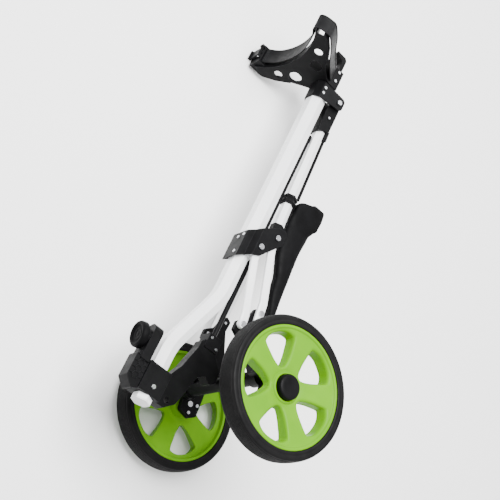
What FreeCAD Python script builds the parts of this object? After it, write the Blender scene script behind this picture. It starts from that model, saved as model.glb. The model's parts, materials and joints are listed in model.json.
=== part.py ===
import FreeCAD, Part
import Sketcher
import math
import os
import re
from FreeCAD import Matrix, Placement, Rotation, Vector

# Folded two-wheel golf pull cart.  It is drawn in a working frame that follows the main tube:
# X is sideways (the left wheel is at +X), Y points to the rear, where the handle and the legs
# fold down, and Z runs up the tube from the foot to the bag cradle.  The last step lays the
# whole cart on its side, resting on one wheel and on one tip of the cradle.
SIZES = {
    # main hexagon tube and the S-bent lower tube
    "tube_flats": 38, "tube_wall": 1.9, "tube_low_z": -15, "tube_top_z": 552,
    "lower_flats": 33, "lower_wall": 1.8, "lower_top_z": 38, "bend_top_z": -125,
    "bend_low_z": -275, "bend_shift_y": -53, "bend_radius": 130, "lower_end_z": -402,
    "plug_depth": 12, "skirt_gap": 0.15,
    # sheet steel brackets
    "sheet_thick": 2.5, "wrap_front_y": -22, "wrap_half_x": 25, "wrap_flat_x": 13, "plate_flat_x": 23,
    "flare_half_x": 37, "flare_start_y": -2, "mid_low_z": -36, "mid_top_z": 82,
    "top_low_z": 441, "top_high_z": 489, "rivet_head": 3.6, "rivet_proud": 1.6,
    # leg linkage
    "front_pivot_y": 16, "front_pivot_z": 11, "rear_pivot_y": 43, "rear_pivot_z": 55,
    "pivot_x": 27, "front_low_y": 37, "front_low_z": -176, "low_pivot_x": 62,
    "strut_width": 18, "strut_thick": 9, "strut_neck": 24, "rear_tail": 45, "pivot_radius": 3, "pivot_gap": 0.06,
    "open_pivot_gap": 0.5, "pivot_head": 6, "pivot_head_thick": 3, "ear_thick": 9,
    # axle, carriers and wheels
    "axle_y": 110.5, "axle_z": -289.6, "wheel_x": 173.6, "axle_radius": 6, "axle_gap": 0.05,
    "beam_y": 88, "beam_z": -273, "beam_radius": 14, "knuckle_x": 122, "knuckle_thick": 12,
    "rim_radius": 115, "rim_half": 20, "barrel_thick": 6, "tyre_radius": 135, "tyre_half": 22,
    "tread_depth": 1.0, "hub_radius": 27, "hub_inner_z": -28, "cap_radius": 24,
    "spoke_back_z": -10, "boss_length": 11,
    "left_window_turn": 4, "right_window_turn": 0,
    # handle
    "hinge_y": 45, "hinge_z": 470, "hinge_radius": 4, "handle_lean": 1.6, "handle_flats": 22,
    "handle_axis_y": -4, "handle_end": -381, "sleeve_end": -88, "sleeve_half_x": 16.5,
    # push rod beside the main tube
    "rod_y": 26, "rod_radius": 5.5, "rod_gap": 0.08, "rod_low_z": -246, "rod_top_z": 350,
    "guide_half_x": 15, "guide_low_z": -238, "guide_high_z": -206,
    # bag cradle
    "web_z": 490, "web_thick": 4, "cradle_high": 52, "cradle_dip": 26, "bag_radius": 172, "bag_centre_y": -265,
    "cradle_wall": 4, "strap_thick": 3, "strap_width": 43, "strap_lift": 7,
    # foot
    "socket_half_x": 21, "toe_half_x": 15, "socket_low_z": -392, "socket_high_z": -332, "pad_radius": 26,
    # strap ratchet on the right tip of the cradle
    "ratchet_pin_radius": 2, "lever_pin_x": -91, "lever_pin_y": -141, "lever_low_z": 511.5, "lever_high_z": 536.5,
    # laid pose
    "lay_tilt": 5.62, "shift_x": -49.229, "shift_y": -82.071, "shift_z": 178.932,
}

doc = FreeCAD.newDocument("golf_pull_cart")
dims = doc.addObject("Spreadsheet::Sheet", "Dims")
for row, (alias, size) in enumerate(SIZES.items(), 1):
    dims.set(f"A{row}", alias)
    dims.set(f"B{row}", str(size))
    dims.setAlias(f"B{row}", alias)
doc.recompute()

subparts = []
X_AXIS, Y_AXIS, Z_AXIS = Vector(1, 0, 0), Vector(0, 1, 0), Vector(0, 0, 1)
TURN = {"X": Rotation(Y_AXIS, 90), "Y": Rotation(X_AXIS, -90), "Z": Rotation()}


def cell(text):
    """An expression with its aliases, all of which hold an underscore, tied to the sheet."""
    return re.sub(r"\b([a-z]+_[a-z_]+)\b", r"Dims.\1", str(text))


def val(text):
    """The present value of such an expression."""
    if isinstance(text, (int, float)):
        return float(text)
    return float(dims.evalExpression(cell(text)))


def place(obj, low, turn=Rotation()):
    """Puts an object at a point given by three expressions."""
    obj.Placement = Placement(Vector(*(val(text) for text in low)), turn)
    for axis, text in zip("xyz", low):
        obj.setExpression(f"Placement.Base.{axis}", cell(text))
    return obj


def box(low, high):
    """A block between two corners."""
    part = doc.addObject("Part::Box", "Block")
    for name, a, b in zip(("Length", "Width", "Height"), low, high):
        part.setExpression(name, cell(f"({b}) - ({a})"))
    return place(part, low)


def cylinder(radius, length, start, axis="Z"):
    """A round bar from a start point along one axis."""
    part = doc.addObject("Part::Cylinder", "Round")
    part.setExpression("Radius", cell(radius))
    part.setExpression("Height", cell(length))
    return place(part, start, TURN[axis])


def hexagon(flats, low_z, high_z, centre=(0, 0)):
    """A hexagon bar along Z with flats on its front and rear, corners at its sides."""
    part = doc.addObject("Part::Prism", "Hexagon")
    part.Polygon = 6
    part.setExpression("Circumradius", cell(f"({flats}) / sqrt(3)"))
    part.setExpression("Height", cell(f"({high_z}) - ({low_z})"))
    return place(part, (centre[0], centre[1], low_z))


def fuse(*shapes):
    if len(shapes) == 1:
        return shapes[0]
    part = doc.addObject("Part::MultiFuse", "Joined")
    part.Shapes = list(shapes)
    part.Refine = True
    return part


def cut(base, *tools):
    part = doc.addObject("Part::Cut", "Cut")
    part.Base = base
    part.Tool = fuse(*tools)
    part.Refine = True
    return part


def common(first, second):
    part = doc.addObject("Part::Common", "Common")
    part.Base, part.Tool = first, second
    part.Refine = True
    return part


def compound(*shapes):
    part = doc.addObject("Part::Compound", "Group")
    part.Links = list(shapes)
    return part


def plane_of(body, role):
    return next(f for f in body.Origin.OriginFeatures if f.Role == role)


def pin_point(sketch, geo, pos, x, y):
    """Ties a sketch point to the sheet."""
    for kind, text, axis in (("DistanceX", x, -2), ("DistanceY", y, -1)):
        if abs(val(text)) < 1e-9:
            sketch.addConstraint(Sketcher.Constraint("PointOnObject", geo, pos, axis))
            continue
        index = sketch.addConstraint(Sketcher.Constraint(kind, -1, 1, geo, pos, val(text)))
        if not isinstance(text, (int, float)):
            sketch.setExpression(f"Constraints[{index}]", cell(text))


def draw(sketch, outline, circles=()):
    """Adds a closed outline of straight runs, and circles, each tied to the sheet."""
    ends = [Vector(val(x), val(y), 0) for x, y in outline]
    first = sketch.GeometryCount
    for a, b in zip(ends, ends[1:] + ends[:1]):
        sketch.addGeometry(Part.LineSegment(a, b))
    for i in range(len(ends)):
        after = first + (i + 1) % len(ends)
        sketch.addConstraint(Sketcher.Constraint("Coincident", first + i, 2, after, 1))
    for i, (x, y) in enumerate(outline):
        pin_point(sketch, first + i, 1, x, y)
    for x, y, radius in circles:
        geo = sketch.addGeometry(Part.Circle(Vector(val(x), val(y), 0), Z_AXIS, val(radius)))
        pin_point(sketch, geo, 3, x, y)
        index = sketch.addConstraint(Sketcher.Constraint("Radius", geo, val(radius)))
        sketch.setExpression(f"Constraints[{index}]", cell(radius))


def new_sketch(body, role):
    sketch = body.newObject("Sketcher::SketchObject", "Outline")
    sketch.AttachmentSupport = [(plane_of(body, role), "")]
    sketch.MapMode = "FlatFace"
    return sketch


def panel(role, outline, thick, start=0, circles=(), rounds=()):
    """A plate of one outline.  On XY it is padded up +Z, on YZ along +X, on XZ along -Y.
    start is where it begins on that axis; rounds are (radius, points near whose corners it is)."""
    body = doc.addObject("PartDesign::Body", "Plate")
    sketch = new_sketch(body, role)
    draw(sketch, outline, circles)
    pad = body.newObject("PartDesign::Pad", "Pad")
    pad.Profile = sketch
    pad.setExpression("Length", cell(thick))
    body.Tip = pad
    along = {"XY_Plane": Z_AXIS, "YZ_Plane": X_AXIS, "XZ_Plane": Y_AXIS}[role]
    for radius, corners in rounds:
        doc.recompute()
        sharp = body.Tip
        names = [corner_edge(sharp.Shape, role, along, x, y) for x, y in corners]
        fillet = body.newObject("PartDesign::Fillet", "Rounded")
        fillet.Base = (sharp, names)
        fillet.setExpression("Radius", cell(radius))
        body.Tip = fillet
    axis = {"XY_Plane": "z", "YZ_Plane": "x", "XZ_Plane": "y"}[role]
    body.setExpression(f"Placement.Base.{axis}", cell(start))
    return body


def corner_edge(shape, role, along, x, y):
    """The edge of a plate that runs through its thickness nearest to one outline point."""
    x, y = val(x), val(y)
    spot = {"XY_Plane": Vector(x, y, 0), "YZ_Plane": Vector(0, x, y), "XZ_Plane": Vector(x, 0, y)}[role]
    best = None
    for i, edge in enumerate(shape.Edges, 1):
        a, b = edge.Vertexes[0].Point, edge.Vertexes[-1].Point
        run = b - a
        if run.Length < 1e-6 or abs(run.normalize().dot(along)) < 0.999:
            continue
        gap = (a - spot) - along * (a - spot).dot(along)
        if best is None or gap.Length < best[0]:
            best = (gap.Length, f"Edge{i}")
    return best[1]


def turned(outline, axis_turn, centre):
    """A body of revolution: the outline is (radius, height), and height runs along the axis."""
    body = doc.addObject("PartDesign::Body", "Turned")
    sketch = new_sketch(body, "XZ_Plane")
    draw(sketch, outline)
    spin = body.newObject("PartDesign::Revolution", "Spin")
    spin.Profile = sketch
    spin.ReferenceAxis = (sketch, ["V_Axis"])
    spin.Angle = 360
    body.Tip = spin
    place(body, centre, axis_turn)
    return body


def shape_feature(name, shape):
    part = doc.addObject("Part::Feature", name)
    part.Shape = shape
    return part


def mirrored(part):
    """The right-hand twin of a left-hand part."""
    twin = doc.addObject("Part::Mirroring", "Twin")
    twin.Source = part
    twin.Normal = X_AXIS
    return twin


def keep(label, part, placement=None):
    """Names a finished sub-part."""
    holder = doc.addObject("Part::Compound", label)
    holder.Links = [part]
    holder.Label = label
    if placement is not None:
        holder.Placement = placement
    subparts.append((label, holder))
    return holder


def both_sides(label, part):
    keep(f"{label}_left", part)
    keep(f"{label}_right", mirrored(part))


def bar_between(a, b, width, thick, eye_a, eye_b, tail):
    """A flat strut from a to b, and on by its tail, with an eye hole of its own at a and at b.
    Its width lies across the fold axis X and its thickness along X; it may lean in X."""
    ax, ay, az = (val(text) for text in a)
    bx, by, bz = (val(text) for text in b)
    across, deep = val(width) / 2, val(thick) / 2
    run = Vector(0, by - ay, bz - az).normalize()
    side = Vector(0, -run.z, run.y) * across
    neck = val("strut_neck")

    def section(x, y, z):
        centre = Vector(x, y, z)
        corners = [centre + side * s + X_AXIS * t for s, t in
                   ((-1, -deep * 0.55), (-0.6, -deep), (0.6, -deep), (1, -deep * 0.55),
                    (1, deep * 0.55), (0.6, deep), (-0.6, deep), (-1, deep * 0.55))]
        return Part.makePolygon(corners + corners[:1])

    def across_bar(centre, radius, reach):
        return Part.makeCylinder(radius, 2 * reach, centre - X_AXIS * reach, X_AXIS)

    top = Vector(ax, ay, az)
    low = Vector(bx, by, bz)
    last = low + run * val(tail)
    wires = [section(*top), section(*(top + run * neck)), section(*(low - run * neck)), section(*last)]
    body = Part.makeLoft(wires, True, True)
    ends = [across_bar(centre, across, deep) for centre in (top, last)]
    holes = [across_bar(centre, val(eye), 2 * deep) for centre, eye in ((top, eye_a), (low, eye_b))]
    return shape_feature("Strut", body.fuse(ends).removeSplitter().cut(holes))


def bolt_x(radius, x_start, x_end, y, z, head, head_thick):
    """A bolt along X with a round head at its outer end."""
    shank = cylinder(radius, f"({x_end}) - ({x_start})", (x_start, y, z), "X")
    return fuse(shank, cylinder(head, head_thick, (x_end, y, z), "X"))


def main_frame():
    """The upper tube, the S-bent lower tube that plugs into it, and their end plugs."""
    keep("main_tube", cut(
        hexagon("tube_flats", "tube_low_z", "tube_top_z"),
        hexagon("tube_flats - 2 * tube_wall", "tube_low_z - 1", "tube_top_z + 1")))
    top, z1, z2, low = (Vector(0, y, val(z)) for y, z in (
        (0, "lower_top_z"), (0, "bend_top_z"), (val("bend_shift_y"), "bend_low_z"),
        (val("bend_shift_y"), "lower_end_z")))
    edges = rounded_path([top, z1, z2, low], val("bend_radius"))
    spine = shape_feature("BendPath", Part.Wire(edges))
    solids = []
    for flats in ("lower_flats", "lower_flats - 2 * lower_wall"):
        ring = doc.addObject("Part::RegularPolygon", "HexRing")
        ring.Polygon = 6
        ring.setExpression("Circumradius", cell(f"({flats}) / sqrt(3)"))
        place(ring, (0, 0, "lower_top_z"))
        sweep = doc.addObject("Part::Sweep", "BentBar")
        sweep.Sections = [ring]
        sweep.Spine = (spine, [f"Edge{i + 1}" for i in range(len(edges))])
        sweep.Solid = True
        sweep.Frenet = False
        solids.append(sweep)
    keep("lower_tube", cut(*solids))
    keep("lower_tube_plug", fuse(
        hexagon("lower_flats", "lower_end_z - 3", "lower_end_z", (0, "bend_shift_y")),
        hexagon("lower_flats - 2 * lower_wall - skirt_gap", "lower_end_z", "lower_end_z + plug_depth",
                (0, "bend_shift_y"))))
    keep("main_tube_plug", fuse(
        hexagon("tube_flats", "tube_top_z", "tube_top_z + 3"),
        hexagon("tube_flats - 2 * tube_wall - skirt_gap", "tube_top_z - plug_depth", "tube_top_z")))


def rounded_path(points, radius):
    """Straight runs joined by tangent arcs."""
    edges, at = [], points[0]
    for before, corner, after in zip(points, points[1:], points[2:]):
        back, ahead = (before - corner).normalize(), (after - corner).normalize()
        half = back.getAngle(ahead) / 2
        reach = radius / math.tan(half)
        a, b = corner + back * reach, corner + ahead * reach
        middle = corner + (back + ahead).normalize() * (radius / math.sin(half) - radius)
        edges += [Part.makeLine(at, a), Part.Arc(a, middle, b).toShape()]
        at = b
    return edges + [Part.makeLine(at, points[-1])]


def wrap_section(flare):
    """The plan of a bent steel wrap: across the tube's front, round its corners and back."""
    t, half, front = "sheet_thick", "wrap_half_x", "wrap_front_y"
    flat, drop = ("plate_flat_x", 2) if flare else ("wrap_flat_x", 12)
    left = [(flat, front), (half, f"{front} + {drop}")]
    inner = [(f"{flat} - 1", f"{front} + {t}"), (f"{half} - {t}", f"{front} + {drop + 1}")]
    if flare:
        left += [(half, "flare_start_y - 4"), ("flare_half_x", "flare_start_y + 6"), ("flare_half_x", 70)]
        inner += [(f"{half} - {t}", "flare_start_y - 3"),
                  (f"flare_half_x - {t}", "flare_start_y + 7"), (f"flare_half_x - {t}", 70)]
    else:
        left += [(half, 70)]
        inner += [(f"{half} - {t}", 70)]
    outer = [(f"-({x})", y) for x, y in reversed(left)] + left
    inside = list(reversed(inner)) + [(f"-({x})", y) for x, y in inner]
    return outer + inside


def brackets():
    """The two steel wraps: the handle hinge at the top and the leg pivots half way down."""
    plan = panel("XY_Plane", wrap_section(False), "top_high_z - top_low_z", "top_low_z")
    side = panel("YZ_Plane", [
        ("wrap_front_y - 1", "top_low_z"), (9, "top_low_z + 4"), (47, "top_low_z + 11"),
        ("hinge_y + 14", "hinge_z - 14"), ("hinge_y + 14", "top_high_z"),
        ("wrap_front_y - 1", "top_high_z")], 100, -50,
        rounds=((9, [("hinge_y + 14", "hinge_z - 14"), ("hinge_y + 14", "top_high_z")]),))
    holes = cylinder("hinge_radius", 100, (-50, "hinge_y", "hinge_z"), "X")
    keep("top_bracket", cut(common(plan, side), holes))

    plan = panel("XY_Plane", wrap_section(True), "mid_top_z - mid_low_z", "mid_low_z")
    side = panel("YZ_Plane", [
        ("wrap_front_y - 1", "mid_low_z"), (-8, "mid_low_z + 12"), (22, -8), (44, 25),
        (60, 48), (60, "mid_top_z"), (44, "mid_top_z"), (-4, 46), ("wrap_front_y - 1", 30)],
        100, -50, rounds=((9, [(60, 48), (60, "mid_top_z")]),))
    holes = [cylinder("pivot_radius", 100, (-50, y, z), "X") for y, z in pivots_high()]
    keep("mid_bracket", cut(common(plan, side), *holes))
    front = [(17, 21), (0, 18), (10, -22)]
    keep("mid_bracket_rivets", compound(*[
        cylinder("rivet_head", "rivet_proud", (x, "wrap_front_y - rivet_proud", z), "Y")
        for x, z in front]))
    keep("top_bracket_rivets", compound(*[
        fuse(cylinder("rivet_head", "rivet_proud", ("wrap_half_x", -4, z), "X"))
        for z in (458, 474)] + [
        cylinder("rivet_head", "rivet_proud", ("-wrap_half_x - rivet_proud", -4, z), "X")
        for z in (458, 474)]))
    keep("handle_hinge_bolt", fuse(
        cylinder("hinge_radius", "2 * wrap_half_x", ("-wrap_half_x", "hinge_y", "hinge_z"), "X"),
        cylinder("pivot_head", 4, ("wrap_half_x", "hinge_y", "hinge_z"), "X"),
        cylinder("pivot_head", 4, ("-wrap_half_x - 4", "hinge_y", "hinge_z"), "X")))


def pivots_high():
    return (("front_pivot_y", "front_pivot_z"), ("rear_pivot_y", "rear_pivot_z"))


def pivots_low():
    rise_y, rise_z = "rear_pivot_y - front_pivot_y", "rear_pivot_z - front_pivot_z"
    return (("front_low_y", "front_low_z"), (f"front_low_y + {rise_y}", f"front_low_z + {rise_z}"))


def legs():
    """Two parallel struts a side, the cast carriers they end in, and the beam between them."""
    eyes = ("pivot_radius + pivot_gap", "pivot_radius + open_pivot_gap")
    for i, (name, tail) in enumerate((("front_strut", 0), ("rear_strut", "rear_tail"))):
        both_sides(name, bar_between(("pivot_x", *pivots_high()[i]), ("low_pivot_x", *pivots_low()[i]),
                                     "strut_width", "strut_thick", eyes[0], eyes[i], tail))
    bolts = [bolt_x("pivot_radius", "pivot_x - strut_thick / 2 - 0.2", "flare_half_x", y, z,
                    "pivot_head", "pivot_head_thick") for y, z in pivots_high()]
    keep("bracket_pivot_bolts", compound(*bolts, *[mirrored(bolt) for bolt in bolts]))

    ear_in = "low_pivot_x - strut_thick / 2 - 0.4 - ear_thick"
    (y1, z1), (y2, z2) = pivots_low()
    ear = panel("YZ_Plane", [
        (f"{y1} - 10", f"{z1} + 4"), (f"{y1} + 9", f"{z1} + 20"), (f"{y2} - 10", f"{z2} + 6"),
        (f"{y2} - 2", f"{z2} + 13"), (f"{y2} + 10", f"{z2} + 8"),
        (f"{y2} + 8", f"{z2} - 16"), ("axle_y - 2", "axle_z + 64"), ("axle_y - 26", "axle_z + 46"),
        (f"{y1} + 10", f"{z1} - 26"), (f"{y1} - 9", f"{z1} - 16")], "ear_thick", ear_in,
        rounds=((5, [(f"{y1} - 10", f"{z1} + 4"), (f"{y2} + 10", f"{z2} + 8")]),))
    reach = panel("XZ_Plane", [
        (ear_in, "axle_z + 98"), ("low_pivot_x + 7", "axle_z + 98"),
        ("knuckle_x + knuckle_thick", "axle_z + 40"), ("knuckle_x + knuckle_thick", "axle_z + 10"),
        ("knuckle_x - 8", "axle_z + 8"), ("low_pivot_x", "axle_z + 66"), (ear_in, "axle_z + 70")],
        46, "axle_y - 2")
    knuckle = panel("YZ_Plane", [
        ("axle_y - 23", "axle_z + 17"), ("axle_y - 6", "axle_z + 47"), ("axle_y + 20", "axle_z + 40"),
        ("axle_y + 24", "axle_z - 17"), ("axle_y + 10", "axle_z - 28"),
        ("axle_y - 17", "axle_z - 22")], "knuckle_thick", "knuckle_x",
        rounds=((6, [("axle_y + 20", "axle_z + 40"), ("axle_y + 24", "axle_z - 17"),
                     ("axle_y + 10", "axle_z - 28"), ("axle_y - 17", "axle_z - 22")]),))
    boss = cylinder(13, "boss_length", ("knuckle_x + knuckle_thick", "axle_y", "axle_z"), "X")
    beam_seat = cylinder("beam_radius + 4", 24, ("knuckle_x - 22", "beam_y", "beam_z"), "X")
    holes = [cylinder("pivot_radius", "ear_thick + 2", (f"{ear_in} - 1", y, z), "X") for y, z in pivots_low()]
    holes += [cylinder("beam_radius", "knuckle_x - low_pivot_x", ("low_pivot_x", "beam_y", "beam_z"), "X"),
              cylinder("axle_radius", 40, ("knuckle_x - 5", "axle_y", "axle_z"), "X")]
    both_sides("carrier", cut(fuse(ear, reach, knuckle, boss, beam_seat), *holes))

    bolts = [bolt_x("pivot_radius", ear_in, "low_pivot_x + strut_thick / 2 + 0.4", y, z,
                    "pivot_head", "pivot_head_thick") for y, z in pivots_low()]
    keep("carrier_pivot_bolts", compound(*bolts, *[mirrored(bolt) for bolt in bolts]))
    studs = [cylinder(3.4, 3, ("knuckle_x - 3", f"axle_y + {y}", f"axle_z + {z}"), "X")
             for y, z in ((4, 36), (15, 4), (3, -19))]
    keep("knuckle_bolts", compound(*studs, *[mirrored(stud) for stud in studs]))
    keep("axle_beam", cut(
        cylinder("beam_radius", "2 * knuckle_x", ("-knuckle_x", "beam_y", "beam_z"), "X"),
        cylinder("beam_radius - 2.5", "2 * knuckle_x + 2", ("-knuckle_x - 1", "beam_y", "beam_z"), "X")))


def wheels():
    """Each wheel turns on a stub axle fixed in its carrier."""
    flip = {"left": Rotation(Y_AXIS, 90), "right": Rotation(Y_AXIS, -90)}
    for side, turn in flip.items():
        sign = "" if side == "left" else "-"
        centre = (f"{sign}wheel_x", "axle_y", "axle_z")
        rim = turned([
            ("axle_radius + axle_gap", "hub_inner_z"), ("hub_radius - 6", "hub_inner_z"),
            ("hub_radius", "spoke_back_z - 3"), ("rim_radius - barrel_thick - 20", "spoke_back_z"),
            ("rim_radius - barrel_thick", "spoke_back_z"), ("rim_radius - barrel_thick", "2 - rim_half"),
            ("rim_radius - barrel_thick + 2", "-rim_half"), ("rim_radius", "-rim_half"),
            ("rim_radius", "rim_half"), ("rim_radius - barrel_thick + 2", "rim_half"),
            ("rim_radius - barrel_thick", "rim_half - 3"), (78, "rim_half - 4.5"), (46, "rim_half - 9"),
            ("cap_radius + 7", "rim_half - 10.5"), ("cap_radius + 4.5", "rim_half - 6.5"),
            ("cap_radius + 0.6", "rim_half - 6.5"),
            ("cap_radius + 0.6", "rim_half - 18"), ("axle_radius + axle_gap", "rim_half - 18")],
            turn, centre)
        window = rim.newObject("Sketcher::SketchObject", "Window")
        window.AttachmentSupport = [(plane_of(rim, "XY_Plane"), "")]
        window.MapMode = "FlatFace"
        first = math.radians(val(f"{side}_window_turn"))
        outline = [(40, -6), (47, -12), (84, -32), (92, -33), (98, -26), (102, -12), (102, 12), (98, 26),
                   (92, 33), (84, 32), (47, 12), (40, 6)]
        draw(window, [(r * math.cos(first) - w * math.sin(first), r * math.sin(first) + w * math.cos(first))
                      for r, w in outline])
        pocket = rim.newObject("PartDesign::Pocket", "WindowCut")
        pocket.Profile = window
        pocket.Type = "ThroughAll"
        pocket.Midplane = True
        doc.recompute()
        ring = rim.newObject("PartDesign::PolarPattern", "Windows")
        ring.Originals = [pocket]
        ring.Axis = (plane_of(rim, "Z_Axis"), [""])
        ring.Angle = 360
        ring.Occurrences = 5
        rim.Tip = ring
        keep(f"wheel_rim_{side}", rim)

        tread = [("rim_radius", "-rim_half"), ("rim_radius", "-rim_half - 1.2"),
                 ("rim_radius + 3", "-tyre_half"), ("tyre_radius - 6", "-tyre_half"),
                 ("tyre_radius - 2.6", "-tyre_half + 1.6"), ("tyre_radius - 1.6", "-tyre_half + 5")]
        grooves = 9
        pitch = 2.0 * (val("tyre_half") - 5) / grooves
        for i in range(grooves):
            z = -val("tyre_half") + 5 + (i + 0.5) * pitch
            crown = 1.6 * (z / 17.0) ** 2
            tread += [(f"tyre_radius - {crown}", z - pitch * 0.42), (f"tyre_radius - {crown}", z + pitch * 0.1),
                      (f"tyre_radius - tread_depth - {crown}", z + pitch * 0.2),
                      (f"tyre_radius - tread_depth - {crown}", z + pitch * 0.42)]
        tread += [("tyre_radius - 1.6", "tyre_half - 4.6"), ("tyre_radius - 2.6", "tyre_half - 1.6"),
                  ("tyre_radius - 6", "tyre_half"), ("rim_radius + 3", "tyre_half"),
                  ("rim_radius", "rim_half + 1.2"), ("rim_radius", "rim_half")]
        keep(f"tyre_{side}", turned(tread, turn, centre))
        keep(f"hub_cap_{side}", turned([
            (0, "rim_half - 18"), ("cap_radius", "rim_half - 18"), ("cap_radius", "rim_half - 6"),
            ("cap_radius - 2", "rim_half - 3"), ("cap_radius - 7", "rim_half - 1"),
            (0, "rim_half")], turn, centre))
        # the stub ends before the cap and carries the retaining washer on its groove
        start = "knuckle_x" if side == "left" else "-wheel_x - rim_half + 18.4"
        keep(f"stub_axle_{side}", cylinder(
            "axle_radius", "wheel_x + rim_half - 18.4 - knuckle_x", (start, "axle_y", "axle_z"), "X"))


def handle():
    """The folding handle, drawn in a frame that leans slightly about the hinge bolt."""
    lean = Rotation(X_AXIS, val("handle_lean"))
    seat = Placement(Vector(0, val("hinge_y"), val("hinge_z")), lean)
    axis = "handle_axis_y"
    keep("handle_tube", cut(
        hexagon("handle_flats", "handle_end", -30, (0, axis)),
        hexagon("handle_flats - 3", "handle_end - 1", -29, (0, axis))), seat)
    outer = [("handle_axis_y - 14.5", "sleeve_end - 8"), ("handle_axis_y + 15", "sleeve_end + 8"),
             ("handle_axis_y + 17", -22), (13, -6), (11, 9), (0, 13.5), (-11, 9),
             ("handle_axis_y - 14.5", -24)]
    sleeve = panel("YZ_Plane", outer, "2 * sleeve_half_x", "-sleeve_half_x",
                   rounds=((5, [(11, 9), (-11, 9), (0, 13.5)]),))
    bore = hexagon("handle_flats + 2 * skirt_gap", "sleeve_end - 20", -29.8, (0, axis))
    hole = cylinder("hinge_radius + pivot_gap", 60, (-30, 0, 0), "X")
    keep("handle_sleeve", cut(sleeve, bore, hole), seat)
    keep("handle_screws", compound(
        cylinder(3, 2, ("sleeve_half_x", axis, -48), "X"),
        cylinder(3, 2, ("-sleeve_half_x - 2", axis, -48), "X")), seat)
    collar = fuse(hexagon("handle_flats + 7", -306, -283, (0, axis)),
                  hexagon("handle_flats + 10", -290, -286, (0, axis)),
                  hexagon("handle_flats + 10", -302, -298, (0, axis)))
    keep("handle_collar", cut(collar, hexagon("handle_flats + 2 * skirt_gap", -310, -280, (0, axis))), seat)
    cap = fuse(hexagon("handle_flats + 5", "handle_end - 14", "handle_end + 16", (0, axis)))
    keep("handle_tube_cap", cut(cap, hexagon("handle_flats + 2 * skirt_gap", "handle_end", "handle_end + 20",
                                             (0, axis))), seat)
    head = panel("YZ_Plane", [
        (16, -278), (52, -264), (85, -262), (90, -282), (86, -318), (74, -334), (69, -400),
        (72, -566), (64, -590), (54, -580), (38, -486), (14, -400), (12, -330), (14.6, -300)],
        30, -15,
        rounds=((10, [(85, -262)]), (6, [(90, -282), (86, -318), (52, -264)]),
                (5, [(64, -590), (72, -566)]), (3, [(54, -580)])))
    keep("handle_grip", head, seat)
    keep("grip_stay", fuse(
        cylinder(3.6, 182, (0, "handle_axis_y + 20", -275.5), "Z"),
        box((-5, "handle_axis_y + 15.7", -98), (5, "handle_axis_y + 24", -70))), seat)


def push_rod():
    """A round rod behind the main tube that slides in the arm's guide and locks the legs."""
    keep("lock_rod", cylinder("rod_radius", "rod_top_z - rod_low_z", (0, "rod_y", "rod_low_z")))
    keep("lock_rod_end", cut(
        cylinder("rod_radius + 2.5", 14, (0, "rod_y", "rod_low_z - 6")),
        cylinder("rod_radius", 14, (0, "rod_y", "rod_low_z"))))
    keep("lock_rod_cap", cut(
        cylinder("rod_radius + 0.9", 16, (0, "rod_y", "rod_top_z - 12")),
        cylinder("rod_radius", 14, (0, "rod_y", "rod_top_z - 14"))))


def foot():
    """The cast foot on the lower tube, its finger and pad, and the arm that guides the rod."""
    shift = "bend_shift_y"
    socket = box(("-socket_half_x", f"{shift} - 27", "socket_low_z"),
                 ("socket_half_x", f"{shift} + 24", "socket_high_z"))
    boot = panel("YZ_Plane", [
        (f"{shift} - 26", "socket_low_z"), (f"{shift} - 38", -399), (f"{shift} - 57", -382),
        (f"{shift} - 57", -334), (f"{shift} - 48", -324), (f"{shift} - 38", -324),
        (f"{shift} - 26", "socket_high_z - 4")], "2 * toe_half_x", "-toe_half_x",
        rounds=((5, [(f"{shift} - 57", -382), (f"{shift} - 38", -399)]),))
    finger = panel("XZ_Plane", [(-19, -340), (-19, -262), (19, -262), (19, -340)], 20, -82,
                   rounds=((18.5, [(-19, -262), (19, -262)]),))
    arm = panel("YZ_Plane", [
        (-32, -392), (-32, -336), (-14, -300), (0, -246), (1, -230), (8, -222), (34, -224),
        (38, -236), (66, -262), (68, -286), (56, -298), (40, -288), (26, -300), (8, -372), (-12, -392)],
        24, -12, rounds=((4, [(8, -222), (34, -224)]), (6, [(56, -298), (66, -262)]), (12, [(8, -372)])))
    guide = box(("-guide_half_x", 9, "guide_low_z"), ("guide_half_x", 41, "guide_high_z"))
    tunnel = cylinder("rod_radius + rod_gap", 60, (0, "rod_y", -240))
    relief = box((-9.5, 15, -286), (9.5, 37, "guide_low_z"))
    tube_room = hexagon("lower_flats + 2 * skirt_gap", "socket_low_z - 30", -288, (0, shift))
    loop = cylinder(6, 30, (-15, -12, -376), "X")
    face = Rotation(X_AXIS, 90 + 17)
    seat = (0, -109, -294)
    boss = turned([(0, -14), (16, -14), (16, 0), (0, 0)], face, seat)
    keep("foot_bracket", cut(fuse(socket, boot, finger, arm, guide, boss), tube_room, tunnel, relief, loop))
    pad = turned([(0, 0), ("pad_radius - 2", 0), ("pad_radius", 3), ("pad_radius", 12),
                  ("pad_radius - 3", 16), ("pad_radius - 7", 16), ("pad_radius - 9", 12), (0, 12)],
                 face, seat)
    keep("foot_pad", pad)
    keep("guide_screws", compound(*[
        cylinder(2.8, 1.8, (x, y, z), "X") for x in ("guide_half_x", "-guide_half_x - 1.8")
        for y, z in ((16, -214), (35, -230))]))
    keep("foot_screws", compound(
        cylinder(4.2, 2.6, ("socket_half_x", shift, -374), "X"),
        cylinder(4.2, 2.6, ("-socket_half_x - 2.6", shift, -374), "X")))


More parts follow.
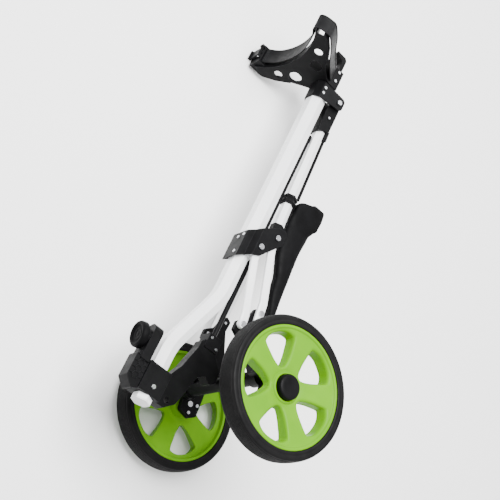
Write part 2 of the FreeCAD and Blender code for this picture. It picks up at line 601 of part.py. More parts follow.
def cradle():
    """The U-shaped bag cradle on the tube's top end, its strap and the strap's ratchet."""
    half = [(24, 4), (31, -16), (62, -52), (90, -76), (110, -100), (113, -112), (106, -127)]
    web = panel("XY_Plane", half + [(-x, y) for x, y in reversed(half)], "web_thick", "web_z",
                circles=[(36, -56, 15), (-36, -56, 15), (70, -83, 10.5), (-70, -83, 10.5)],
                rounds=((14, [(31, -16), (-31, -16)]), (6, [(110, -100), (-110, -100)])))
    ring = cut(cylinder("bag_radius + cradle_wall", "cradle_high", (0, "bag_centre_y", "web_z")),
               cylinder("bag_radius", "cradle_high + 2", (0, "bag_centre_y", "web_z - 1")))
    crest = [(108, "web_z"), (108, "web_z + cradle_high - 6"), (102, "web_z + cradle_high"),
             (82, "web_z + cradle_high"), (52, "web_z + cradle_dip"), (0, "web_z + cradle_dip")]
    wall = common(ring, panel("XZ_Plane", crest + [(f"-({x})", z) for x, z in reversed(crest[:-1])], 160, 10,
                              rounds=((12, [(82, "web_z + cradle_high"), (-82, "web_z + cradle_high"),
                                            (52, "web_z + cradle_dip"), (-52, "web_z + cradle_dip")]),)))
    skirt_pts = [(-113, -112), (-110, -100), (-90, -76), (-62, -52), (-62, -47.5), (-92, -72),
                 (-114, -98), (-117, -112)]
    skirts = [panel("XY_Plane", [(-x, y) for x, y in skirt_pts], 14, "web_z"),
              panel("XY_Plane", skirt_pts, 14, "web_z")]
    block = box((-27, -30, "web_z"), (27, 22, "tube_top_z - 6"))
    rib = [box((x - 2, -96, "web_z"), (x + 2, -28, "web_z + 34")) for x in (-20, 20)]
    bag = cylinder("bag_radius", 300, (0, "bag_centre_y", 400))
    room = hexagon("tube_flats + 2 * skirt_gap", 300, 700)
    ratchet_room = box((-150, -150, "web_z + web_thick"), (-86, -108, 600))
    keep("bag_cradle", cut(fuse(web, wall, block, *rib, *skirts), bag, room, ratchet_room))
    keep("cradle_rivets", compound(*[
        cylinder("rivet_head", "rivet_proud", (x, 10, z), "X")
        for x in (27, "-27 - rivet_proud") for z in (510, 538)]))
    keep("strap_tab", panel("YZ_Plane", [(14, 560), (24, 560), (24, 598), (18, 606), (-8, 606), (-8, 599),
                                         (14, 591)], 22, -11))
    strap_pts = [(27.4, -4), (36, -14), (66, -46), (96, -72), (118.5, -98), (121.5, -112), (120, -128),
                 (113, -138), (104, -138), (92, -130), (76, -119.5), (52, -109), (26, -103), (0, -101),
                 (-26, -103), (-52, -109), (-70, -117), (-84, -127), (-88, -128), (-108, -128)]
    keep("cradle_strap", ribbon(strap_pts, "strap_thick", "strap_width", "web_z + strap_lift"))
    ratchet()


def ratchet():
    """The buckle on the right tip: the strap slides through its base and the lever's barrel grips it."""
    low, high = "lever_low_z", "lever_high_z"
    block = panel("XZ_Plane", [
        (-87, "web_z + web_thick"), (-87, 545), (-91, 549), (-120, 549), (-126, 543),
        (-126, 500), (-120, "web_z + web_thick")], 27, -109, rounds=((2, [(-91, 549), (-126, 543)]),))
    lugs = [box(("lever_pin_x - 5", "lever_pin_y - 5", a), ("lever_pin_x + 5", -135, b))
            for a, b in ((f"{low} - 6", f"{low} - 0.5"), (f"{high} + 0.5", f"{high} + 6"))]
    slot = box((-150, -131.8, "web_z + strap_lift - 0.6"), (-80, -127.3, "web_z + strap_lift + 0.6 + strap_width"))
    pin_hole = cylinder("ratchet_pin_radius", 60, ("lever_pin_x", "lever_pin_y", 495))
    keep("ratchet_base", cut(fuse(block, *lugs), slot, pin_hole))
    keep("ratchet_pin", cylinder("ratchet_pin_radius", f"{high} - {low} + 12",
                                 ("lever_pin_x", "lever_pin_y", f"{low} - 6")))
    barrel = cylinder(4.2, f"{high} - {low}", ("lever_pin_x", "lever_pin_y", low))
    plate = box(("lever_pin_x - 33", "lever_pin_y - 1.5", low), ("lever_pin_x", "lever_pin_y + 2.5", high))
    thumb = box(("lever_pin_x - 36", "lever_pin_y - 6", low), ("lever_pin_x - 32", "lever_pin_y + 2.5", high))
    bore = cylinder("ratchet_pin_radius + pivot_gap", 60, ("lever_pin_x", "lever_pin_y", 495))
    keep("ratchet_lever", cut(fuse(barrel, plate, thumb), bore))


def ribbon(points, thick, high, low):
    """A flat strap standing on edge along a plan path, which is its inner face."""
    t = val(thick)
    path = [Vector(x, y, 0) for x, y in points]
    normals = []
    for i in range(len(path)):
        ahead = path[min(i + 1, len(path) - 1)] - path[max(i - 1, 0)]
        normals.append(Vector(ahead.y, -ahead.x, 0).normalize())
    back = [p - n * t for p, n in zip(path, normals)]
    outline = [(p.x, p.y) for p in path] + [(p.x, p.y) for p in reversed(back)]
    return panel("XY_Plane", outline, high, low)


def laid():
    """The placement that lays the finished cart on its side, up its left wheel."""
    tilt = math.radians(val("lay_tilt"))
    c, s_ = math.cos(tilt), math.sin(tilt)
    return Placement(Matrix(0, 1, 0, val("shift_x"), s_, 0, c, val("shift_y"),
                            c, 0, -s_, val("shift_z"), 0, 0, 0, 1))


def main():
    main_frame()
    brackets()
    legs()
    wheels()
    handle()
    push_rod()
    foot()
    cradle()
    doc.recompute()
    pose = laid()
    for label, holder in subparts:
        holder.Placement = pose.multiply(holder.Placement)
    doc.recompute()
    failed = [f"{obj.Name}: {obj.getStatusString()}" for obj in doc.Objects
              if "Invalid" in obj.State or "Error" in obj.State]
    if failed:
        raise RuntimeError("; ".join(failed))
    os.makedirs("parts", exist_ok=True)
    for label, holder in subparts:
        shape = holder.Shape
        if shape.isNull() or not shape.isValid() or not shape.Solids:
            raise RuntimeError(f"{label} has no valid solid")
        shape.exportStep(f"parts/{label}.step")


main()
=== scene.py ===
import json
import math

import bmesh
import bpy
from mathutils import Matrix, Vector


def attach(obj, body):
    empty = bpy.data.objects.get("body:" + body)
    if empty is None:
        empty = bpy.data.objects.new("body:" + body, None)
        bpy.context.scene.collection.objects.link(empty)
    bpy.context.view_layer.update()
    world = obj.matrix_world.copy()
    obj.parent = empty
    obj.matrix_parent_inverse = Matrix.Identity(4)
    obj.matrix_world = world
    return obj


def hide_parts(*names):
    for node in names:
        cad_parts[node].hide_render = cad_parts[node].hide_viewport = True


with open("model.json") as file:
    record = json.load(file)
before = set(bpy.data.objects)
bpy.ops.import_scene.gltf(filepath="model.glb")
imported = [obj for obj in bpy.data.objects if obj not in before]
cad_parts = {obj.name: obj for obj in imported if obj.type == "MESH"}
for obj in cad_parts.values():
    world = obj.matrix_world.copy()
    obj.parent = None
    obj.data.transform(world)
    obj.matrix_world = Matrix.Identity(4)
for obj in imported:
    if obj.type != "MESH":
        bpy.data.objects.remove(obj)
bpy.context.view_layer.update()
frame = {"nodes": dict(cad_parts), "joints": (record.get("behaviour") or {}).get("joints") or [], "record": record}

NODES = frame["nodes"]
SLOTS = {part["node"]: part["material_slot"] for part in frame["record"]["subparts"]}
JOINTS = {joint["name"]: joint for joint in frame["joints"]}
MM = 0.001

# The cart is drawn in millimetres in the main tube's own frame: X to the left wheel, Y to the
# handle side and Z up the tube.  Its directions and its place come from the joints.
SIDE = Vector(JOINTS["handle_fold"]["axis"]).normalized()
UP = -Vector(JOINTS["push_rod_slide"]["axis"]).normalized()
REAR = UP.cross(SIDE).normalized()
HINGE_Y, HINGE_Z = 45, 470
START = Vector(JOINTS["handle_fold"]["pos_m"]) - REAR * (HINGE_Y * MM) - UP * (HINGE_Z * MM)
TUBE = Matrix.Translation(START) @ Matrix((SIDE, REAR, UP)).transposed().to_4x4()
AXLE = TUBE.inverted() @ Vector(JOINTS["left_wheel_spin"]["pos_m"])
WHEEL_X, AXLE_Y, AXLE_Z = (measure / MM for measure in AXLE)


# ---------------------------------------------------------------- materials

def new_material(name):
    made = bpy.data.materials.new(name)
    made.use_nodes = True
    tree = made.node_tree
    tree.nodes.clear()
    out = tree.nodes.new("ShaderNodeOutputMaterial")
    shader = tree.nodes.new("ShaderNodeBsdfPrincipled")
    tree.links.new(shader.outputs["BSDF"], out.inputs["Surface"])
    return made, tree, shader


def noise(tree, coords, scale, detail=4.0):
    node = tree.nodes.new("ShaderNodeTexNoise")
    node.inputs["Scale"].default_value = scale
    node.inputs["Detail"].default_value = detail
    node.inputs["Roughness"].default_value = 0.55
    tree.links.new(coords, node.inputs["Vector"])
    return node.outputs["Fac"]


def ramp(tree, value, low, high, to_low, to_high):
    """Maps low..high onto to_low..to_high and holds it there outside."""
    node = tree.nodes.new("ShaderNodeMapRange")
    stops = {"From Min": low, "From Max": high, "To Min": to_low, "To Max": to_high}
    for name, number in stops.items():
        node.inputs[name].default_value = number
    tree.links.new(value, node.inputs["Value"])
    return node.outputs["Result"]


def mix_colour(tree, factor, first, second):
    """Mixes two colours, each an (r, g, b) or the output socket of another node."""
    node = tree.nodes.new("ShaderNodeMix")
    node.data_type = "RGBA"
    tree.links.new(factor, node.inputs["Factor"])
    for socket, colour in (("A", first), ("B", second)):
        inlet = [s for s in node.inputs if s.name == socket and s.type == "RGBA"][0]
        if isinstance(colour, bpy.types.NodeSocket):
            tree.links.new(colour, inlet)
        else:
            inlet.default_value = (*colour, 1)
    return [s for s in node.outputs if s.type == "RGBA"][0]


def multiply(tree, *values):
    """The product of two values, each a number or the output socket of another node."""
    node = tree.nodes.new("ShaderNodeMath")
    node.operation = "MULTIPLY"
    for inlet, value in zip(node.inputs, values):
        if isinstance(value, bpy.types.NodeSocket):
            tree.links.new(value, inlet)
        else:
            inlet.default_value = value
    return node.outputs[0]


def edge_mask(tree, radius, coords):
    """1 on the edges and 0 on flats, broken up by noise, and the softened edges' normal; the edges are coloured as
    wear and as a painted highlight.
    """
    bevel = tree.nodes.new("ShaderNodeBevel")
    bevel.inputs["Radius"].default_value = radius
    bevel.samples = 4
    geometry = tree.nodes.new("ShaderNodeNewGeometry")
    dot = tree.nodes.new("ShaderNodeVectorMath")
    dot.operation = "DOT_PRODUCT"
    tree.links.new(bevel.outputs["Normal"], dot.inputs[0])
    tree.links.new(geometry.outputs["Normal"], dot.inputs[1])
    edge = ramp(tree, dot.outputs["Value"], 0.80, 0.995, 1.0, 0.0)
    patchy = ramp(tree, noise(tree, coords, 240.0, 3.0), 0.38, 0.62, 0.15, 1.0)
    return multiply(tree, edge, patchy), bevel.outputs["Normal"]


SMUDGE_SPREAD = 0.08
SMUDGE_SCALE = 3.1
COAT_ROUGHNESS = 0.18


def surface(name, colour, tint, roughness, grain, grain_height, mottle, edge_wear_and_sheen, edge_wear_and_sheen_amount,
            bevel=0.0012, specular=0.5, metallic=0.0, coat=0.0, brushed=None):
    """A procedural finish: mottled colour, uneven roughness, fine grain, soft edges, and an edge colour that is
    part wear and part painted highlight.
    """
    made, tree, shader = new_material(name)
    coords = tree.nodes.new("ShaderNodeTexCoord").outputs["Object"]
    blotch = ramp(tree, noise(tree, coords, mottle), 0.3, 0.7, 0.0, 1.0)
    base = mix_colour(tree, blotch, colour, tint)
    mask, soft_normal = edge_mask(tree, bevel, coords)
    # The edge colour is wear, and on the black, green and steel finishes also a painted highlight along the edges
    # (lighter than the base); on the white tubes it darkens the edges.
    base = mix_colour(tree, multiply(tree, mask, edge_wear_and_sheen_amount), base, edge_wear_and_sheen)
    tree.links.new(base, shader.inputs["Base Color"])
    smudge = ramp(tree, noise(tree, coords, mottle * SMUDGE_SCALE, 6.0), 0.3, 0.7,
                  roughness - SMUDGE_SPREAD, roughness + SMUDGE_SPREAD)
    tree.links.new(smudge, shader.inputs["Roughness"])
    grain_coords = coords
    if brushed is not None:
        stretch = tree.nodes.new("ShaderNodeMapping")
        stretch.inputs["Scale"].default_value = brushed
        tree.links.new(coords, stretch.inputs["Vector"])
        grain_coords = stretch.outputs["Vector"]
    bump = tree.nodes.new("ShaderNodeBump")
    bump.inputs["Strength"].default_value = 1.0
    bump.inputs["Distance"].default_value = grain_height
    tree.links.new(noise(tree, grain_coords, grain, 2.0), bump.inputs["Height"])
    tree.links.new(soft_normal, bump.inputs["Normal"])
    tree.links.new(bump.outputs["Normal"], shader.inputs["Normal"])
    shader.inputs["Metallic"].default_value = metallic
    shader.inputs["Specular IOR Level"].default_value = specular
    shader.inputs["Coat Weight"].default_value = coat
    shader.inputs["Coat Roughness"].default_value = COAT_ROUGHNESS
    return made


ALONG_TUBE = (1.0, 0.05, 1.0)  # the scale that draws the grain out along the tubes
# The edge colour of each finish is part wear and part painted highlight where it is lighter than the base; on the
# white tubes it is darker than the base.
FINISHES = {
    "white_aluminium": dict(
        colour=(0.74, 0.745, 0.76), tint=(0.80, 0.805, 0.81), roughness=0.30,
        grain=500, grain_height=0.00003, mottle=9, bevel=0.0014,
        edge_wear_and_sheen=(0.60, 0.61, 0.63), edge_wear_and_sheen_amount=0.35, coat=0.3, brushed=ALONG_TUBE),
    "black_steel": dict(
        colour=(0.0022, 0.0022, 0.0024), tint=(0.0045, 0.0045, 0.005), roughness=0.42,
        grain=1500, grain_height=0.00003, mottle=26,
        edge_wear_and_sheen=(0.05, 0.05, 0.054), edge_wear_and_sheen_amount=0.6, specular=0.07),
    "black_plastic": dict(
        colour=(0.0016, 0.0016, 0.0018), tint=(0.0042, 0.0042, 0.0046), roughness=0.46,
        grain=1300, grain_height=0.00006, mottle=22,
        edge_wear_and_sheen=(0.045, 0.045, 0.049), edge_wear_and_sheen_amount=0.6, specular=0.06),
    "black_rubber": dict(
        colour=(0.0014, 0.0014, 0.0016), tint=(0.0036, 0.0036, 0.0040), roughness=0.56,
        grain=1800, grain_height=0.00008, mottle=30,
        edge_wear_and_sheen=(0.024, 0.024, 0.026), edge_wear_and_sheen_amount=0.5, specular=0.05),
    "strap_plastic": dict(
        colour=(0.0034, 0.0034, 0.0038), tint=(0.007, 0.007, 0.0075), roughness=0.46,
        grain=1400, grain_height=0.00006, mottle=40, bevel=0.0008,
        edge_wear_and_sheen=(0.05, 0.05, 0.054), edge_wear_and_sheen_amount=0.5, specular=0.08),
    "silver_steel": dict(
        colour=(0.46, 0.47, 0.49), tint=(0.60, 0.61, 0.63), roughness=0.28, metallic=1.0,
        grain=2200, grain_height=0.00003, mottle=120, bevel=0.0006,
        edge_wear_and_sheen=(0.9, 0.9, 0.9), edge_wear_and_sheen_amount=0.4),
    "green_plastic": dict(
        colour=(0.072, 0.215, 0.0003), tint=(0.092, 0.250, 0.0006), roughness=0.42,
        grain=1100, grain_height=0.00004, mottle=14, bevel=0.0015,
        edge_wear_and_sheen=(0.16, 0.36, 0.008), edge_wear_and_sheen_amount=0.35, specular=0.09),
    "tyre_rubber": dict(
        colour=(0.0026, 0.0026, 0.0028), tint=(0.006, 0.0059, 0.006), roughness=0.50,
        grain=700, grain_height=0.00012, mottle=34, bevel=0.0008,
        edge_wear_and_sheen=(0.026, 0.025, 0.025), edge_wear_and_sheen_amount=0.5, specular=0.07),
    "grey_plastic": dict(
        colour=(0.52, 0.52, 0.53), tint=(0.60, 0.60, 0.61), roughness=0.46,
        grain=1200, grain_height=0.00005, mottle=30,
        edge_wear_and_sheen=(0.42, 0.42, 0.43), edge_wear_and_sheen_amount=0.4),
}
MATERIALS = {name: surface(name, **finish) for name, finish in FINISHES.items()}


def dress_cad():
    for name, node in NODES.items():
        node.data.materials.clear()
        node.data.materials.append(MATERIALS[SLOTS[name]])


# ---------------------------------------------------------------- building helpers

def piece(name, bm, body, slot, *stands_for, smooth):
    """Turns mesh work in the tube's millimetres into a finished piece on its body."""
    bmesh.ops.remove_doubles(bm, verts=bm.verts, dist=0.01)
    bmesh.ops.recalc_face_normals(bm, faces=bm.faces)
    bm.transform(TUBE @ Matrix.Scale(MM, 4))
    data = bpy.data.meshes.new(name)
    bm.to_mesh(data)
    bm.free()
    made = bpy.data.objects.new(name, data)
    bpy.context.scene.collection.objects.link(made)
    data.shade_smooth()
    data.set_sharp_from_angle(angle=math.radians(smooth))
    data.materials.append(MATERIALS[slot])
    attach(made, body)
    if stands_for:
        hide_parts(*stands_for)


def loft(bm, loops, capped=False):
    """Quads between closed rings of points, with both ends closed if capped."""
    rings = [[bm.verts.new(p) for p in loop] for loop in loops]
    for low, high in zip(rings, rings[1:]):
        count = len(low)
        for i in range(count):
            k = (i + 1) % count
            bm.faces.new((low[i], low[k], high[k], high[i]))
    if capped:
        bm.faces.new(rings[0])
        bm.faces.new(rings[-1])


def full_turn(count):
    return [2 * math.pi * i / count for i in range(count)]


def revolve(bm, profile, angles, move):
    """A turned form: profile is (radius, height) pairs, and move places each point."""
    loft(bm, [[move(r * math.cos(a), r * math.sin(a), h) for a in angles] for r, h in profile])


def squared(value, power):
    """A sine or cosine bent so that a circle of them becomes a rounded-off square."""
    return math.copysign(abs(value) ** power, value)


def wheel_move(side):
    """Puts wheel-local points (two in the wheel's plane, one outwards) in the tube's frame."""
    sign = 1 if side == "left" else -1
    return lambda a, b, out: (sign * (WHEEL_X + out), AXLE_Y + b, AXLE_Z - sign * a)


# ---------------------------------------------------------------- wheels
# Radii are from the axle, and heights are outwards from the wheel's middle plane.

SPOKES = 5
HUB_R, FACE_R = 31.0, 107.0
DISH_LOW, DISH_RISE = 5.0, 11.8
RIM_BACK = -10.0
WINDOW_TURN = {"left": 4.0, "right": 0.0}
WINDOW_STEPS = 56
WINDOW_IN, WINDOW_OUT = 40.0, 101.0
WINDOW_HALF_IN, WINDOW_WIDENS, WINDOW_WIDEST = 7.0, 27.0, 0.78
WINDOW_POWER = 2 / 3.4
WINDOW_ARC = 0.55
BACK_LIP = 2.0
# The rolled edge of a window and its deep wall: how far outside the window, how far down.
LIPS = [(7.0, 0.0), (5.6, 0.25), (4.0, 1.0), (2.6, 2.2), (1.6, 3.8), (1.0, 6.0), (0.4, 12.0),
        (-0.6, 20.0), (-1.2, 23.0), (-0.6, 24.6), (1.5, 25.2)]


def face_height(r):
    """The outer face of the rim: a shallow dish that rises towards the tyre."""
    return DISH_LOW + DISH_RISE * ((r - HUB_R) / (FACE_R - HUB_R)) ** 0.75


def square_point(a):
    """The point at angle a on the edge of a cell's own -1..1 square."""
    u, v = math.cos(a), math.sin(a)
    top = max(abs(u), abs(v))
    return u / top, v / top


def window_point(a, grow):
    """A point (radius, angle) of the rounded window, made larger by grow millimetres."""
    u, v = squared(math.cos(a), WINDOW_POWER), squared(math.sin(a), WINDOW_POWER)
    inner, outer = WINDOW_IN - grow, WINDOW_OUT + grow
    x = inner + (outer - inner) * (u + 1) / 2
    along = (x - inner) / (outer - inner)
    y = v * (WINDOW_HALF_IN + WINDOW_WIDENS * min(along / WINDOW_WIDEST, 1.0) ** 0.9 + grow)
    r = math.hypot(x, y)
    if u >= WINDOW_ARC:  # the outer side follows the rim's circle
        r = x + (r - x) * (1 - (u - WINDOW_ARC) / (1 - WINDOW_ARC))
    return r, math.asin(max(-1, min(1, y / max(r, 1))))


def arc_steps(turns):
    """The sideways steps of a cell's edge along its inner and outer arcs, bar the last one."""
    points = [square_point(a) for a in turns]
    return sorted({round(v, 9) for u, v in points if abs(u) > 0.999999})[:-1]


def spoke_cells(bm, side, move):
    """One fifth of the rim at a time: face, rolled lip, window wall and back.

    Gives back the angles of the points on the cells' arcs, for the hub and flange to join.
    """
    half_cell = math.pi / SPOKES
    turns = full_turn(WINDOW_STEPS)
    middles = [math.radians(WINDOW_TURN[side]) + 2 * half_cell * k for k in range(SPOKES)]
    for middle in middles:

        def ring(share, grow, height):
            """Points at this share of the way from the cell's edge to the grown window."""
            points = []
            for a in turns:
                u, v = square_point(a)
                r0, t0 = HUB_R + (FACE_R - HUB_R) * (u + 1) / 2, v * half_cell
                r1, t1 = window_point(a, grow)
                r, t = r0 + (r1 - r0) * share, middle + (t0 + (t1 - t0) * share)
                points.append(move(r * math.cos(t), r * math.sin(t), height(r)))
            return points

        face = [ring(share, LIPS[0][0], face_height) for share in (0.0, 0.25, 0.5, 0.75)]
        wall = [ring(1.0, grow, lambda r, drop=drop: max(face_height(r) - drop, RIM_BACK))
                for grow, drop in LIPS]
        back = [ring(share, BACK_LIP, lambda r: RIM_BACK) for share in (0.6, 0.3, 0.0)]
        loft(bm, face + wall + back)
    return [middle + v * half_cell for middle in middles for v in arc_steps(turns)]


def wheel(side):
    """A five-window rim with its flange and hub in one piece, and its tyre and cap."""
    move = wheel_move(side)
    bm = bmesh.new()
    angles = spoke_cells(bm, side, move)
    flange = [(FACE_R, face_height(FACE_R)), (107.8, 17.2), (108.6, 18.4), (109.4, 19.4),
              (110.6, 19.9), (113.2, 20.0), (114.4, 19.6), (114.9, 18.6), (114.9, -18.8),
              (114.2, -19.8), (111.5, -20.0), (109.4, -19.2), (108.8, -17.5), (108.8, -11.2),
              (108.4, -10.3), (FACE_R, RIM_BACK)]
    revolve(bm, flange, angles, move)
    hub = [(HUB_R, face_height(HUB_R)), (30.0, 5.7), (29.3, 7.0), (28.4, 7.9), (27.0, 8.3),
           (25.6, 8.1), (24.8, 7.5), (24.5, 6.6), (24.5, 2.2), (6.1, 2.2), (6.1, -27.8),
           (19.5, -27.8), (21.0, -27.0), (23.6, -15.0), (25.0, -11.6), (HUB_R, RIM_BACK)]
    revolve(bm, hub, angles, move)
    piece(f"rim_{side}", bm, f"{side}_wheel", "green_plastic", f"wheel_rim_{side}", smooth=50)
    tyre(side, move)
    hub_cap(side, move)


TREAD_RIBS = 11
TREAD_HALF = 16.6
CROWN_R, CROWN_DROP = 134.9, 1.1
# One rib of the tread: the place along it from one groove to the next, and how far in.
RIB = [(0.06, 1.2), (0.2, 0.15), (0.34, 0.0), (0.62, 0.0), (0.78, 0.15), (0.94, 1.2)]


def tyre(side, move):
    """A solid rubber tyre with fine ribs round its tread and a stepped side wall."""
    wall = [(115.1, 20.2), (116.2, 21.3), (118.0, 21.9), (121.5, 22.0), (122.3, 21.6),
            (123.0, 21.6), (123.8, 21.95), (128.8, 21.9), (130.8, 21.3), (132.2, 20.1),
            (133.0, 18.2)]
    tread = []
    for i in range(TREAD_RIBS):
        for place, groove in RIB:
            h = TREAD_HALF - 2 * TREAD_HALF * (i + place) / TREAD_RIBS
            tread.append((CROWN_R - CROWN_DROP * (abs(h) / TREAD_HALF) ** 2.2 - groove, h))
    profile = wall + tread + [(r, -h) for r, h in reversed(wall)]
    bm = bmesh.new()
    revolve(bm, profile + profile[:1], full_turn(144), move)
    piece(f"tread_{side}", bm, f"{side}_wheel", "tyre_rubber", f"tyre_{side}", smooth=60)


def hub_cap(side, move):
    profile = [(0.0, 20.0), (8.0, 19.95), (15.0, 19.8), (19.0, 19.4), (21.5, 18.6),
               (23.1, 17.4), (23.8, 15.8), (24.0, 14.0), (24.0, 2.3), (0.0, 2.3)]
    bm = bmesh.new()
    revolve(bm, profile, full_turn(64), move)
    piece(f"cap_{side}", bm, f"{side}_wheel", "black_plastic", f"hub_cap_{side}", smooth=60)


# ---------------------------------------------------------------- handle grip

LEAN = Matrix.Translation((0, HINGE_Y, HINGE_Z)) @ Matrix.Rotation(math.radians(1.6), 4, "X")
GRIP_LOW, GRIP_LONG, GRIP_LEVELS = -589.0, 326.0, 70
# The grip's rear line, front line and half thickness, as (height, measure) stops.
GRIP_REAR = [(-590, 66), (-566, 72), (-480, 70), (-400, 69), (-340, 74), (-324, 80), (-315, 87),
             (-285, 89.5), (-262, 87)]
GRIP_FRONT = [(-590, 58), (-572, 55), (-486, 38), (-400, 16), (-330, 13), (-292, 15),
              (-282, 20), (-264, 54)]
GRIP_THICK = [(-590, 8), (-560, 12), (-480, 12.5), (-400, 13), (-330, 13.5), (-318, 15),
              (-290, 15), (-262, 15)]
GRIP_POWER = [(-350, 0.72), (-318, 0.36)]
GROOVES_LOW, GROOVES_HIGH, GROOVE_STEP, GROOVE_DEEP = -548, -430, 9.8, 0.5
TOE_Z, TOE_LONG = -575, 15.0
CREST_Z, CREST_LONG, CREST_SHRINK = -268.0, 5.0, 0.16


def between(stops, at):
    """A smooth value at one place between (place, value) stops in rising order."""
    if at <= stops[0][0]:
        return stops[0][1]
    for (a, low), (b, high) in zip(stops, stops[1:]):
        if at <= b:
            t = (at - a) / (b - a)
            return low + (high - low) * t * t * (3 - 2 * t)
    return stops[-1][1]


def oval(centre_y, half_y, half_x, z, power):
    """A rounded-off rectangle across Z."""
    return [Vector((squared(math.sin(a), power) * half_x,
                    centre_y + squared(math.cos(a), power) * half_y, z)) for a in full_turn(36)]


def grip():
    """The soft pistol grip: a blunt head at the tube's end and a long tapering stock."""
    loops = []
    for i in range(GRIP_LEVELS + 1):
        z = GRIP_LOW + GRIP_LONG * i / GRIP_LEVELS
        low, high = between(GRIP_FRONT, z), between(GRIP_REAR, z)
        shrink = 1 - CREST_SHRINK * max(0.0, (z - CREST_Z) / CREST_LONG) ** 2
        toe = math.sqrt(max(0.05, 1 - max(0.0, (TOE_Z - z) / TOE_LONG) ** 2))
        groove = 0.0
        if GROOVES_LOW < z < GROOVES_HIGH:
            turn = 2 * math.pi * (z - GROOVES_HIGH) / GROOVE_STEP
            groove = GROOVE_DEEP * (0.5 + 0.5 * math.cos(turn))
        half_x = between(GRIP_THICK, z) * shrink * toe - groove
        half_y = (high - low) / 2 * toe - groove
        ring = oval((low + high) / 2, half_y, half_x, z, between(GRIP_POWER, z))
        loops.append([LEAN @ p for p in ring])
    bm = bmesh.new()
    loft(bm, loops, capped=True)
    piece("grip_soft", bm, "handle", "black_rubber", "handle_grip", smooth=55)


# ---------------------------------------------------------------- strap

STRAP_LOW, STRAP_HIGH = 497.0, 540.0
STRAP_PLAN = [(27.4, -4), (36, -14), (66, -46), (96, -72), (118.2, -98), (119, -112),
              (115.5, -126), (110, -134), (103, -134.5), (92, -125.6), (76, -115.5),
              (52, -105.6), (26, -99.4), (0, -97.4), (-26, -99.4), (-52, -105.6),
              (-68, -113.5), (-80, -122.5), (-88, -128), (-108, -128)]
STRAP_STEPS = 14
RATCHET_X = -88.5
TOOTH, TEETH_FROM = 0.7, 100
ROLLED_RIM = 0.5


def curve_through(points, steps):
    """A smooth path through points, as Catmull-Rom arcs of this many steps."""
    path = []
    last = len(points) - 1
    for i in range(last):
        a, b = points[max(i - 1, 0)], points[i]
        c, d = points[i + 1], points[min(i + 2, last)]
        for k in range(steps):
            t = k / steps
            path.append((b * 2 + (c - a) * t + (a * 2 - b * 5 + c * 4 - d) * t * t
                         + (b * 3 - a - c * 3 + d) * t ** 3) / 2)
    return path + [points[-1]]


def strap():
    """The bag strap: rolled edges up to the ratchet, and ladder teeth on its way there."""
    path = curve_through([Vector((x, y, 0)) for x, y in STRAP_PLAN], STRAP_STEPS)
    middle, half = (STRAP_LOW + STRAP_HIGH) / 2, (STRAP_HIGH - STRAP_LOW) / 2
    loops = []
    for i, p in enumerate(path):
        run = (path[min(i + 1, len(path) - 1)] - path[max(i - 1, 0)]).normalized()
        out = Vector((-run.y, run.x, 0))
        in_ratchet = p.x < RATCHET_X
        tooth = TOOTH if i % 2 == 0 and i > TEETH_FROM and not in_ratchet else 0.0
        rim = 0.0 if in_ratchet else ROLLED_RIM
        profile = [(0.2, -half), (2.2 + rim, -half), (2.8, -half + 0.6), (2.8, -half + 2.4),
                   (1.7 + tooth, -half + 3.6), (1.7 + tooth, half - 3.6), (2.8, half - 2.4),
                   (2.8, half - 0.6), (2.2 + rim, half), (0.2, half), (0.1, half - 0.8),
                   (0.1, -half + 0.8)]
        loops.append([p + out * a + Vector((0, 0, middle + h)) for a, h in profile])
    bm = bmesh.new()
    loft(bm, loops, capped=True)
    piece("strap_band", bm, "frame", "strap_plastic", "cradle_strap", smooth=35)


def strap_hook():
    """The hook for the strap's loose end, which stands on the tube's end plug."""
    half_wide = 11
    outline = [(14, 554.8), (24, 554.8), (24, 598), (18, 606), (-8, 606), (-8, 599), (14, 591)]
    bm = bmesh.new()
    loft(bm, [[Vector((x, y, z)) for y, z in outline] for x in (-half_wide, half_wide)],
         capped=True)
    bmesh.ops.bevel(bm, geom=bm.edges[:], offset=1.0, segments=3, profile=0.5, affect="EDGES")
    piece("strap_hook", bm, "frame", "black_plastic", "strap_tab", smooth=35)


# ---------------------------------------------------------------- foot

PAD_FACE = Matrix.Translation((0, -109, -294)) @ Matrix.Rotation(math.radians(107), 4, "X")
CELL = 7.4
CELL_START_Y, CELL_START_Z = -105.0, -380.0
CELL_COLUMNS, CELL_ROWS = 4, 7
TOE_Y_SPAN, TOE_Z_SPAN = (-109, -78), (-382, -326)
RIB_ROOT, RIB_CREST, RIB_HALF = 14.8, 17.0, 0.8
RIB_TAPER = 0.6


def foot_pad():
    """The rubber cup that the bag's underside sits on, with rings moulded in its floor."""
    profile = [(0.0, 12.6), (3.0, 12.6), (4.0, 11.9), (8.0, 11.9), (9.0, 12.6), (11.0, 12.6),
               (12.0, 11.9), (16.2, 11.9), (17.2, 12.6), (18.6, 14.8), (19.6, 15.8),
               (20.8, 16.0), (22.4, 15.9), (23.8, 15.2), (25.2, 13.4), (25.9, 11.6),
               (26.0, 4.0), (25.2, 1.6), (23.8, 0.4), (22.0, 0.05), (0.0, 0.05)]
    bm = bmesh.new()
    revolve(bm, profile, full_turn(72), lambda x, y, h: PAD_FACE @ Vector((x, y, h)))
    piece("pad_cup", bm, "frame", "black_rubber", "foot_pad", smooth=50)


def on_toe(y, z):
    return TOE_Y_SPAN[0] < y < TOE_Y_SPAN[1] and TOE_Z_SPAN[0] < z < TOE_Z_SPAN[1]


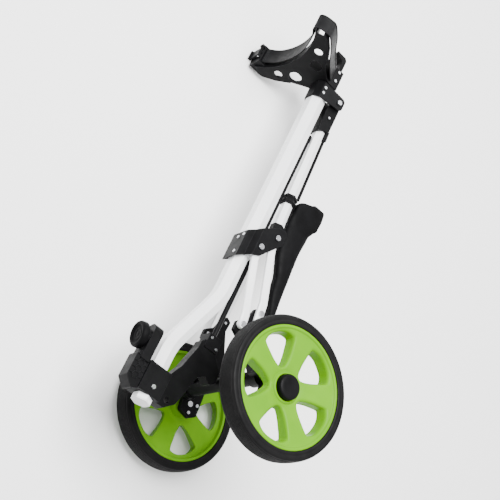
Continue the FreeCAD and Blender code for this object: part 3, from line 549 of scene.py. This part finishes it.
def boot_ribs():
    """The honeycomb of thin ribs moulded on both sides of the foot's toe."""
    bm = bmesh.new()
    for side in (-1, 1):
        for column in range(CELL_COLUMNS):
            for row in range(CELL_ROWS):
                y = CELL_START_Y + column * CELL * 1.5
                z = CELL_START_Z + (row + 0.5 * (column % 2)) * CELL * math.sqrt(3)
                corners = [(y + CELL * math.cos(a), z + CELL * math.sin(a))
                           for a in (math.pi * k / 3 for k in range(4))]
                for start, end in zip(corners, corners[1:]):
                    if on_toe(*start) and on_toe(*end):
                        rib_bar(bm, side, start, end)
    piece("boot_ribs", bm, "frame", "strap_plastic", smooth=30)


def rib_bar(bm, side, start, end):
    """One thin raised bar on the toe's flat side."""
    run = Vector((0, end[0] - start[0], end[1] - start[1])).normalized()
    across = Vector((side, 0, 0)).cross(run) * RIB_HALF
    loops = []
    for at in (start, end):
        root, crest = Vector((side * RIB_ROOT, *at)), Vector((side * RIB_CREST, *at))
        loops.append([root + across, root - across,
                      crest - across * RIB_TAPER, crest + across * RIB_TAPER])
    loft(bm, loops, capped=True)


# ---------------------------------------------------------------- floor, light and camera

def floor():
    bm = bmesh.new()
    bmesh.ops.create_grid(bm, x_segments=1, y_segments=1, size=12)
    data = bpy.data.meshes.new("floor")
    bm.to_mesh(data)
    bm.free()
    plane = bpy.data.objects.new("floor", data)
    bpy.context.scene.collection.objects.link(plane)
    made, tree, shader = new_material("floor")
    coords = tree.nodes.new("ShaderNodeTexCoord").outputs["Object"]
    pale, paler = (0.90, 0.90, 0.90), (0.92, 0.92, 0.92)
    base = mix_colour(tree, noise(tree, coords, 1.2), pale, paler)
    tree.links.new(base, shader.inputs["Base Color"])
    shader.inputs["Roughness"].default_value = 0.9
    shader.inputs["Specular IOR Level"].default_value = 0.1
    data.materials.append(made)


def area_light(name, at, towards, size, power):
    data = bpy.data.lights.new(name, "AREA")
    data.shape = "DISK"
    data.size = size
    data.energy = power
    lamp = bpy.data.objects.new(name, data)
    bpy.context.scene.collection.objects.link(lamp)
    lamp.location = at
    lamp.rotation_euler = (Vector(towards) - Vector(at)).to_track_quat("-Z", "Y").to_euler()


def light():
    """An even white surround, a large key light overhead and two weak lights from the sides."""
    world = bpy.data.worlds.new("studio")
    bpy.context.scene.world = world
    world.use_nodes = True
    background = world.node_tree.nodes["Background"]
    background.inputs["Color"].default_value = (1.0, 1.0, 1.0, 1)
    background.inputs["Strength"].default_value = 1.15
    area_light("key", (-0.7, 0.4, 2.9), (0, 0, 0.1), 2.2, 300)
    area_light("fill", (1.8, -1.2, 2.0), (0, 0, 0.1), 2.0, 18)
    area_light("rim_light", (0.4, 2.4, 1.4), (0, 0, 0.2), 1.4, 20)


# The photograph's view in the tube's frame: the camera's place in metres, the direction from the
# cart back to it, and its upward direction.
VIEW_FROM = (1.565, -0.811, -1.075)
VIEW_BACK = (0.7535, -0.3978, -0.5234)
VIEW_UP = (0.2139, -0.6044, 0.7674)


def camera():
    data = bpy.data.cameras.new("camera")
    data.lens = 72
    data.sensor_width = 36
    seen = bpy.data.objects.new("camera", data)
    bpy.context.scene.collection.objects.link(seen)
    back = Vector(VIEW_BACK).normalized()
    right = Vector(VIEW_UP).cross(back).normalized()
    turn = Matrix((right, back.cross(right), back)).transposed().to_4x4()
    seen.matrix_world = TUBE @ Matrix.Translation(VIEW_FROM) @ turn
    bpy.context.scene.camera = seen


dress_cad()
wheel("left")
wheel("right")
grip()
strap()
strap_hook()
foot_pad()
boot_ribs()
floor()
light()
camera()
